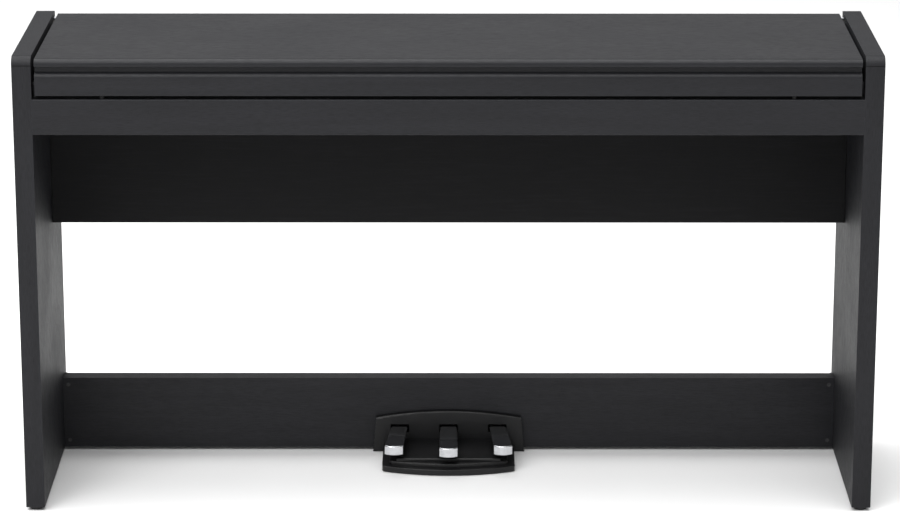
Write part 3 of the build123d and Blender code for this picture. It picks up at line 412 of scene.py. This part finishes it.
def add_board_seams():
    """The seams at the side panels' rounded corner and behind the lid's rounded nose."""
    low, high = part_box("side_panel_left")
    add_seams(panel_laminate, LAMINATE, [
        ("Y", low.y + PANEL_CORNER_RADIUS, "Z", high.z),
        ("Z", high.z - PANEL_CORNER_RADIUS, "Y", low.y),
    ])
    low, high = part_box("lid_board")
    add_seams(case_laminate, LAMINATE, [("Y", low.y + LID_NOSE_RADIUS, "Z", high.z)])


add_board_seams()
for row in frame["record"]["subparts"]:
    node = nodes[row["node"]]
    finish = SLOT_MATERIALS[row["material_slot"]]
    if row["node"].startswith("side_panel"):
        finish = panel_laminate
    node.data.materials.clear()
    node.data.materials.append(finish)


# ---------------------------------------------------------------- softened edges on CAD nodes

WELD_DISTANCE = 0.005 * MM
SHARP_EDGE_DEGREES = 35


def soften(name, width):
    """Rounds a CAD node's sharp edges a little, as paint, foil and moulding do."""
    node = nodes[name]
    weld = node.modifiers.new("weld", "WELD")
    weld.merge_threshold = WELD_DISTANCE
    bevel = node.modifiers.new("bevel", "BEVEL")
    bevel.width = width
    bevel.segments = 2
    bevel.limit_method = "ANGLE"
    bevel.angle_limit = math.radians(SHARP_EDGE_DEGREES)
    bevel.use_clamp_overlap = True
    node.modifiers.new("normals", "WEIGHTED_NORMAL")


# The width of the softened edge in millimetres, and the nodes that have it.
SOFT_EDGES = {
    0.9: ("side_panel_left", "side_panel_right", "stretcher_board", "speaker_box"),
    0.7: ("cheek_block_left", "cheek_block_right", "rear_panel", "keybed", "lid_board", "keyslip"),
    0.5: ("lid_front_rail", "pedal_base", "pedal_back_plate", "pedal_rear_cover", "control_panel",
          "music_ledge"),
    0.3: ("headphone_sockets", "foot_glides", "power_inlet", "corner_brackets", "lid_bumpers"),
}
SOFT_KEY_EDGE = 0.35 * MM
KEY_PREFIXES = ("key_", "white_keys", "black_keys")
NOT_KEYS = ("key_chassis", "key_pivot_rod", "key_stop_felt")

for width, names in SOFT_EDGES.items():
    for name in names:
        soften(name, width * MM)
for name in nodes:
    if name.startswith(KEY_PREFIXES) and name not in NOT_KEYS:
        soften(name, SOFT_KEY_EDGE)


# ---------------------------------------------------------------- new pieces

def make_piece(name, bm, finish):
    """A piece from a bmesh that rides on the stand, with its finish."""
    bmesh.ops.recalc_face_normals(bm, faces=bm.faces)
    for face in bm.faces:
        face.smooth = True
    mesh = bpy.data.meshes.new(name)
    bm.to_mesh(mesh)
    bm.free()
    mesh.materials.append(finish)
    piece = bpy.data.objects.new(name, mesh)
    bpy.context.scene.collection.objects.link(piece)
    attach(piece, "stand")
    return piece


def add_turned(bm, place, direction, profile, segments, sink=None):
    """Adds a turned shape to a bmesh: (radius, height) points about a direction, closed at radius 0.
    sink(x, y) may give a depth that a point is pressed in by."""
    turn = Vector(direction).to_track_quat("Z", "Y").to_matrix()
    rings = []
    for radius, height in profile:
        count = segments if radius > 0 else 1
        ring = []
        for step in range(count):
            angle = 2 * math.pi * step / count
            x, y = radius * math.cos(angle), radius * math.sin(angle)
            z = height - (sink(x, y) if sink else 0.0)
            ring.append(bm.verts.new(Vector(place) + turn @ Vector((x, y, z))))
        rings.append(ring)
    for low, high in zip(rings, rings[1:]):
        for step in range(segments):
            after = (step + 1) % segments
            below = [low[step % len(low)], low[after % len(low)]]
            above = [high[after % len(high)], high[step % len(high)]]
            bm.faces.new(list(dict.fromkeys(below + above)))


DOME_RINGS = 6
DOME_RIM_SHARE = 0.25


def dome(radius, height):
    """Profile of a shallow rounded head: a short straight rim, then a quarter of an ellipse."""
    points = [(radius, 0.0)]
    for step in range(DOME_RINGS):
        angle = math.pi / 2 * step / DOME_RINGS
        rise = DOME_RIM_SHARE + (1 - DOME_RIM_SHARE) * math.sin(angle)
        points.append((radius * math.cos(angle), height * rise))
    points.append((0.0, height))
    return points


BAR_END_TAPER = 1.2 * MM
BAR_END_SHARE = 0.75


def add_bar(bm, outline, x0, x1):
    """Adds a bar along X with a closed (y, z) outline, drawn in a little at both ends."""
    count = len(outline)
    middle_y = sum(y for y, _ in outline) / count
    middle_z = sum(z for _, z in outline) / count
    rings = []
    for x, share in ((x0, BAR_END_SHARE), (x0 + BAR_END_TAPER, 1.0),
                     (x1 - BAR_END_TAPER, 1.0), (x1, BAR_END_SHARE)):
        rings.append([
            bm.verts.new((x, middle_y + (y - middle_y) * share, middle_z + (z - middle_z) * share))
            for y, z in outline
        ])
    for low, high in zip(rings, rings[1:]):
        for step in range(count):
            after = (step + 1) % count
            bm.faces.new((low[step], low[after], high[after], high[step]))
    bm.faces.new(rings[0])
    bm.faces.new(rings[-1])


ROLL_SHARES = (0.0, 0.08, 0.2, 0.4, 0.65, 1.0)


def steps_with_edges(low, high, roll, pitch):
    """Places from low to high: close together in the rolled edges, even in between."""
    edge = [roll * part for part in ROLL_SHARES]
    length = high - low - 2 * roll
    count = max(2, round(length / pitch))
    even = [low + roll + length / count * step for step in range(1, count)]
    return [low + part for part in edge] + even + [high - part for part in reversed(edge)]


CLOTH_ROLL = 2.8 * MM
CLOTH_PITCH = 9 * MM
CLOTH_SLACK = 0.12 * MM
# The cloth's two slow waves, in radians per metre along X and Z.
CLOTH_WAVES = ((23, 11), (61, -37))


def roll_back(distance):
    """How far a point this far inside the cloth's edge lies behind its face."""
    inside = max(0.0, CLOTH_ROLL - distance)
    return CLOTH_ROLL - math.sqrt(CLOTH_ROLL ** 2 - inside ** 2)


def make_cloth():
    """The acoustic cloth, stretched over its panel and rolled round the panel's edges."""
    low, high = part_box("speaker_cloth")
    bm = bmesh.new()
    columns = steps_with_edges(low.x, high.x, CLOTH_ROLL, CLOTH_PITCH)
    levels = steps_with_edges(low.z, high.z, CLOTH_ROLL, CLOTH_PITCH)
    rows = []
    for z in levels:
        row = []
        for x in columns:
            back = max(roll_back(min(x - low.x, high.x - x)), roll_back(min(z - low.z, high.z - z)))
            waves = [math.sin(x * along_x + z * along_z) for along_x, along_z in CLOTH_WAVES]
            slack = CLOTH_SLACK * sum(waves) / len(waves)
            row.append(bm.verts.new((x, low.y + CLOTH_SLACK + max(back, slack), z)))
        rows.append(row)
    for below, above in zip(rows, rows[1:]):
        for left in range(len(columns) - 1):
            bm.faces.new((below[left], below[left + 1], above[left + 1], above[left]))
    cloth = make_piece("speaker_cloth_sheet", bm, SLOT_MATERIALS["speaker_cloth"])
    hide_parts("speaker_cloth")


# Each row of screws: its panel, how many, and how far inside the panel's top and bottom edges.
SCREW_ROWS = (("rear_panel", 7, 12 * MM), ("speaker_box", 6, 10 * MM))
SCREW_END_INSET = 24 * MM
SCREW_HEAD_RADIUS = 4.0 * MM
SCREW_HEAD_HEIGHT = 2.1 * MM
SCREW_RIM_SHARE = 0.3
SCREW_SLOT_LENGTH = 4.6 * MM
SCREW_SLOT_WIDTH = 1.1 * MM
SCREW_SLOT_DEPTH = 0.9 * MM
SCREW_HEAD_RINGS = 14
SCREW_HEAD_SEGMENTS = 48


def cross_slot(x, y):
    """How deep the cross recess is at a point of a screw's head."""
    along, across = max(abs(x), abs(y)), min(abs(x), abs(y))
    inside = along < SCREW_SLOT_LENGTH / 2 and across < SCREW_SLOT_WIDTH / 2
    return SCREW_SLOT_DEPTH if inside else 0.0


def head_profile():
    """A pan head with enough rings for its recess."""
    points = [(SCREW_HEAD_RADIUS, 0.0), (SCREW_HEAD_RADIUS, SCREW_RIM_SHARE * SCREW_HEAD_HEIGHT)]
    for step in range(1, SCREW_HEAD_RINGS + 1):
        share = 1 - step / SCREW_HEAD_RINGS
        rise = 1 - (1 - SCREW_RIM_SHARE) * share ** 4
        points.append((SCREW_HEAD_RADIUS * share, SCREW_HEAD_HEIGHT * rise))
    return points


def make_back_screws():
    """Pan-head screws that hold the rear panel and the back of the speaker box."""
    bm = bmesh.new()
    for name, columns, inset in SCREW_ROWS:
        low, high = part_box(name)
        first = low.x + SCREW_END_INSET
        span = high.x - low.x - 2 * SCREW_END_INSET
        for level in (low.z + inset, high.z - inset):
            for column in range(columns):
                place = (first + span * column / (columns - 1), high.y, level)
                add_turned(bm, place, (0, 1, 0), head_profile(), SCREW_HEAD_SEGMENTS, cross_slot)
    make_piece("back_panel_screws", bm, SLOT_MATERIALS["steel"])


RIM_GAP = 0.05 * MM
RIM_SEGMENTS = 40
# A rim's section, from its inner edge: shares of its width and of its height.
RIM_SECTION = ((0.0, 0.0), (0.0, 0.7), (0.15, 1.0), (0.8, 1.0), (1.0, 0.6), (1.0, 0.0))
RING_NUT_WIDTH = 2.1 * MM
RING_NUT_HEIGHT = 1.3 * MM
COLLAR_WIDTH = 2.4 * MM
COLLAR_HEIGHT = 0.9 * MM


def add_rim(bm, mount, width, height):
    """Adds a rounded ring round the mouth of a bore."""
    axis = Vector(mount["axis"])
    mouth = Vector(mount["pos_m"]) + axis * mount["dims"]["length_mm"] * MM / 2
    inner = mount["dims"]["r_mm"] * MM + RIM_GAP
    section = [(inner + out * width, up * height) for out, up in RIM_SECTION]
    add_turned(bm, mouth, axis, section, RIM_SEGMENTS)


def make_socket_rims():
    """A plated ring nut round each headphone socket and a black collar round the power inlet."""
    rims = bmesh.new()
    for name in ("headphone_socket_1", "headphone_socket_2"):
        add_rim(rims, mounts[name], RING_NUT_WIDTH, RING_NUT_HEIGHT)
    make_piece("headphone_socket_rims", rims, SLOT_MATERIALS["steel"])
    collar = bmesh.new()
    add_rim(collar, mounts["power_inlet"], COLLAR_WIDTH, COLLAR_HEIGHT)
    make_piece("power_inlet_collar", collar, SLOT_MATERIALS["black_plastic"])


DOT_COUNT = 11
SMALLEST_DOT = 0.525 * MM
LARGEST_DOT = 0.875 * MM
DOT_HEIGHT = 0.25 * MM
DOT_GAP = 3.4 * MM
DOT_SEGMENTS = 20


def make_volume_dots():
    """Raised dots round the volume knob that grow from its low end to its high end."""
    bm = bmesh.new()
    turn = joints["volume_knob_turn"]
    centre = Vector(turn["pos_m"])
    low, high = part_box("volume_knob")
    reach = (high.x - low.x) / 2 + DOT_GAP
    sweep = math.radians(turn["range_deg"][1])
    for step in range(DOT_COUNT):
        share = step / (DOT_COUNT - 1)
        angle = -math.pi / 2 - sweep * share
        radius = SMALLEST_DOT + (LARGEST_DOT - SMALLEST_DOT) * share
        place = centre + Vector((reach * math.cos(angle), reach * math.sin(angle), 0))
        add_turned(bm, place, (0, 0, 1), dome(radius, DOT_HEIGHT), DOT_SEGMENTS)
    make_piece("volume_dots", bm, printed)


LAMP_RADIUS = 1.3 * MM
LAMP_HEIGHT = 0.8 * MM
LAMP_SEGMENTS = 28
LAMP_GAP = 6 * MM


def make_power_lamp():
    """The small red lamp in front of the power button, on the control panel's face."""
    bm = bmesh.new()
    low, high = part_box("power_button")
    face = joints["volume_knob_turn"]["pos_m"][2]
    place = ((low.x + high.x) / 2, low.y - LAMP_GAP, face)
    add_turned(bm, place, (0, 0, 1), dome(LAMP_RADIUS, LAMP_HEIGHT), LAMP_SEGMENTS)
    make_piece("power_lamp", bm, lamp_lens)


SEAL_END_GAP = 1 * MM
SEAL_INSET = 0.3 * MM
SEAL_WIDTH = 4.4 * MM
SEAL_HEIGHT = 2.4 * MM
# The seal's section: shares of its width from the back, and of its height.
SEAL_SECTION = ((0.0, 0.0), (0.0, 0.7), (0.18, 1.0), (0.45, 0.94), (0.8, 0.45), (1.0, 0.0))


def make_strip(name, outline, low, high):
    """A rubber strip along X with a (y, z) outline, just short of both ends of what it sits on."""
    bm = bmesh.new()
    add_bar(bm, outline, low.x + SEAL_END_GAP, high.x - SEAL_END_GAP)
    make_piece(name, bm, SLOT_MATERIALS["rubber"])


def make_keyslip_seal():
    """The rubber dust seal on the back edge of the keyslip."""
    low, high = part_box("keyslip")
    back = high.y - SEAL_INSET
    outline = [(back - along * SEAL_WIDTH, high.z + up * SEAL_HEIGHT) for along, up in SEAL_SECTION]
    make_strip("keyslip_seal", outline, low, high)


HINGE_SEAL_DEPTH = 5.2 * MM
HINGE_SEAL_CLEARANCE = 0.8 * MM
HINGE_SEAL_STEPS = 6


def make_hinge_seal():
    """The rubber strip on top of the rear panel, hollowed to follow the swing of the lid's back edge."""
    low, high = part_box("rear_panel")
    lid_low, lid_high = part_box("lid_board")
    pivot = Vector(joints["lid_hinge"]["pos_m"])
    swing = math.hypot(lid_high.y - pivot.y, pivot.z - lid_low.z) + HINGE_SEAL_CLEARANCE
    back = high.y - SEAL_INSET
    outline = [(back, high.z)]
    for step in range(HINGE_SEAL_STEPS + 1):
        y = back - HINGE_SEAL_DEPTH * step / HINGE_SEAL_STEPS
        outline.append((y, pivot.z - math.sqrt(swing ** 2 - (y - pivot.y) ** 2)))
    outline.append((back - HINGE_SEAL_DEPTH, high.z))
    make_strip("hinge_gap_seal", outline, low, high)


SPRING_WIRE_RADIUS = 0.9 * MM
SPRING_WIRE_SIDES = 12
SPRING_TURNS = 6
SPRING_STEPS_PER_TURN = 32


def add_spring(bm, foot, radius, rise):
    """Adds a coil spring that stands on its foot: closed end turns, with open turns between them."""
    up = Vector((0, 0, 1))
    steps = SPRING_TURNS * SPRING_STEPS_PER_TURN
    rings = []
    for step in range(steps + 1):
        share = step / steps
        angle = 2 * math.pi * SPRING_TURNS * share
        outward = Vector((math.cos(angle), math.sin(angle), 0))
        climb = SPRING_WIRE_RADIUS + rise * share * share * (3 - 2 * share)
        middle = Vector(foot) + up * climb + outward * radius
        ring = []
        for side in range(SPRING_WIRE_SIDES):
            turn = 2 * math.pi * side / SPRING_WIRE_SIDES
            offset = outward * math.cos(turn) + up * math.sin(turn)
            ring.append(bm.verts.new(middle + offset * SPRING_WIRE_RADIUS))
        rings.append(ring)
    for before, after in zip(rings, rings[1:]):
        for side in range(SPRING_WIRE_SIDES):
            following = (side + 1) % SPRING_WIRE_SIDES
            bm.faces.new((before[side], before[following], after[following], after[side]))
    bm.faces.new(rings[0])
    bm.faces.new(rings[-1])


def make_pedal_spring(name):
    """A pedal's return spring at its rest height, though the real one shortens as the pedal goes down."""
    node = f"pedal_spring_{name}"
    low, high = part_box(node)
    centre = (low + high) / 2
    foot = (centre.x, centre.y, low.z)
    height = high.z - low.z
    bm = bmesh.new()
    add_spring(bm, foot, (high.x - low.x) / 2 - SPRING_WIRE_RADIUS, height - 2 * SPRING_WIRE_RADIUS)
    spring = make_piece(f"{node}_coil", bm, SLOT_MATERIALS["steel"])
    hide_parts(node)
    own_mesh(spring)


make_cloth()
make_back_screws()
make_socket_rims()
make_volume_dots()
make_power_lamp()
make_keyslip_seal()
make_hinge_seal()
for pedal in ("left", "middle", "right"):
    make_pedal_spring(pedal)


# ---------------------------------------------------------------- stage, light and camera

CAMERA_PLACE = Vector((0.0111, -5.4891, 1.9289))
CAMERA_FORWARD = Vector((-0.0015, 0.96211, -0.27265))
CAMERA_REACH = 200
# The focal length and the width of the sensor are in millimetres.
CAMERA_LENS = 140.44
CAMERA_SENSOR = 36.0
WORLD_STRENGTH = 0.42
# Each lamp: its name, place, the place it points at, its width and its power in watts.
LAMPS = (
    ("ceiling_lamp", (-0.7, -0.6, 4.6), (0, 0, 0), 7.0, 620),
    ("key_lamp", (-2.6, -3.6, 3.0), (0, 0, 0.4), 2.2, 66),
    ("fill_lamp", (2.8, -3.0, 2.0), (0, 0, 0.4), 2.2, 6),
)
FLOOR_HALF = 40.0
FLOOR_MOTTLE = 0.9
FLOOR_DARK = (0.80, 0.80, 0.80)
FLOOR_LIGHT = (0.84, 0.84, 0.84)


def make_floor():
    """The pale studio floor."""
    mesh = bpy.data.meshes.new("studio_floor")
    corners = [(x * FLOOR_HALF, y * FLOOR_HALF, 0) for x, y in ((-1, -1), (1, -1), (1, 1), (-1, 1))]
    mesh.from_pydata(corners, [], [(0, 1, 2, 3)])
    floor = bpy.data.objects.new("studio_floor", mesh)
    bpy.context.scene.collection.objects.link(floor)
    material, tree, shader = new_material("studio_floor")
    mottle = noise(tree, object_space(tree), FLOOR_MOTTLE)
    colour = mixed(tree, mottle, FLOOR_DARK, FLOOR_LIGHT)
    paint(tree, shader, colour, remap(tree, mottle, 0.3, 0.7, 0.75, 0.85))
    mesh.materials.append(material)


def area_light(name, place, aim, size, power):
    """A soft square lamp that points at a place."""
    lamp = bpy.data.lights.new(name, "AREA")
    lamp.shape = "SQUARE"
    lamp.size = size
    lamp.energy = power
    holder = bpy.data.objects.new(name, lamp)
    holder.location = place
    holder.rotation_mode = "QUATERNION"
    holder.rotation_quaternion = (Vector(aim) - Vector(place)).to_track_quat("-Z", "Y")
    bpy.context.scene.collection.objects.link(holder)


def make_world(strength):
    """Even white light from all round, as in a light tent."""
    world = bpy.data.worlds.new("light_tent")
    world.use_nodes = True
    background = world.node_tree.nodes["Background"]
    background.inputs["Color"].default_value = (1, 1, 1, 1)
    background.inputs["Strength"].default_value = strength
    bpy.context.scene.world = world


def make_camera():
    """A long lens in front of the piano, looking down at it a little."""
    camera = bpy.data.cameras.new("camera")
    camera.lens = CAMERA_LENS
    camera.sensor_width = CAMERA_SENSOR
    camera.clip_end = CAMERA_REACH
    holder = bpy.data.objects.new("camera", camera)
    holder.location = CAMERA_PLACE
    holder.rotation_mode = "QUATERNION"
    holder.rotation_quaternion = CAMERA_FORWARD.to_track_quat("-Z", "Y")
    bpy.context.scene.collection.objects.link(holder)
    bpy.context.scene.camera = holder


make_floor()
make_world(WORLD_STRENGTH)
for lamp in LAMPS:
    area_light(*lamp)
make_camera()
bpy.context.scene.view_settings.view_transform = "Standard"
